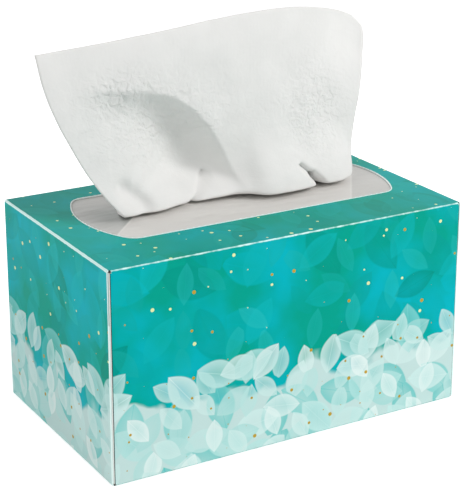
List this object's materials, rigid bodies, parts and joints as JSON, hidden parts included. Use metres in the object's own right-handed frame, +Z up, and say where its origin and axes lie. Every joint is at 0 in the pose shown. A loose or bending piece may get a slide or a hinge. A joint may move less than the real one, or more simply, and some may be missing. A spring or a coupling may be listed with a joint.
{
  "type": "pop-up carton of folded paper hand towels",
  "caption": "Printed board carton with a film window in its top, holding interfolded paper hand towels, one of them standing in the window's slit.",
  "frame": {"origin": "middle of the carton's underside, on the surface it stands on", "axes": "+X along the carton, the long way; +Y from the printed front to the back; +Z up, out of the dispensing opening"},
  "size_m": [0.2395, 0.143, 0.2422],
  "materials": {
    "carton_board": "coated and printed outside, grey-white inside",
    "window_film": "thin translucent film",
    "towel_paper": "soft embossed tissue"
  },
  "bodies": {
    "root": {"carton": "carton_board", "standing_towel": "towel_paper", "towel_02": "towel_paper", "towel_03": "towel_paper", "towel_04": "towel_paper", "towel_05": "towel_paper", "towel_06": "towel_paper", "towel_07": "towel_paper", "towel_08": "towel_paper", "towel_09": "towel_paper", "towel_10": "towel_paper", "towel_11": "towel_paper", "towel_12": "towel_paper", "towel_13": "towel_paper", "towel_14": "towel_paper", "towel_15": "towel_paper", "towel_16": "towel_paper", "towel_17": "towel_paper", "towel_18": "towel_paper", "towel_19": "towel_paper", "towel_20": "towel_paper", "towel_21": "towel_paper", "towel_22": "towel_paper", "towel_23": "towel_paper", "towel_24": "towel_paper", "towel_25": "towel_paper", "towel_26": "towel_paper", "towel_27": "towel_paper", "towel_28": "towel_paper", "towel_29": "towel_paper", "towel_30": "towel_paper", "towel_31": "towel_paper", "towel_32": "towel_paper", "towel_33": "towel_paper", "towel_34": "towel_paper", "towel_35": "towel_paper", "towel_36": "towel_paper", "towel_37": "towel_paper", "towel_38": "towel_paper", "towel_39": "towel_paper", "towel_40": "towel_paper", "towel_41": "towel_paper", "towel_42": "towel_paper", "towel_43": "towel_paper", "towel_44": "towel_paper", "towel_45": "towel_paper", "towel_46": "towel_paper", "towel_47": "towel_paper", "towel_48": "towel_paper", "towel_49": "towel_paper", "towel_50": "towel_paper", "towel_51": "towel_paper", "towel_52": "towel_paper", "towel_53": "towel_paper", "towel_54": "towel_paper", "towel_55": "towel_paper", "towel_56": "towel_paper", "towel_57": "towel_paper", "window_film": "window_film"}
  },
  "joints": []
}
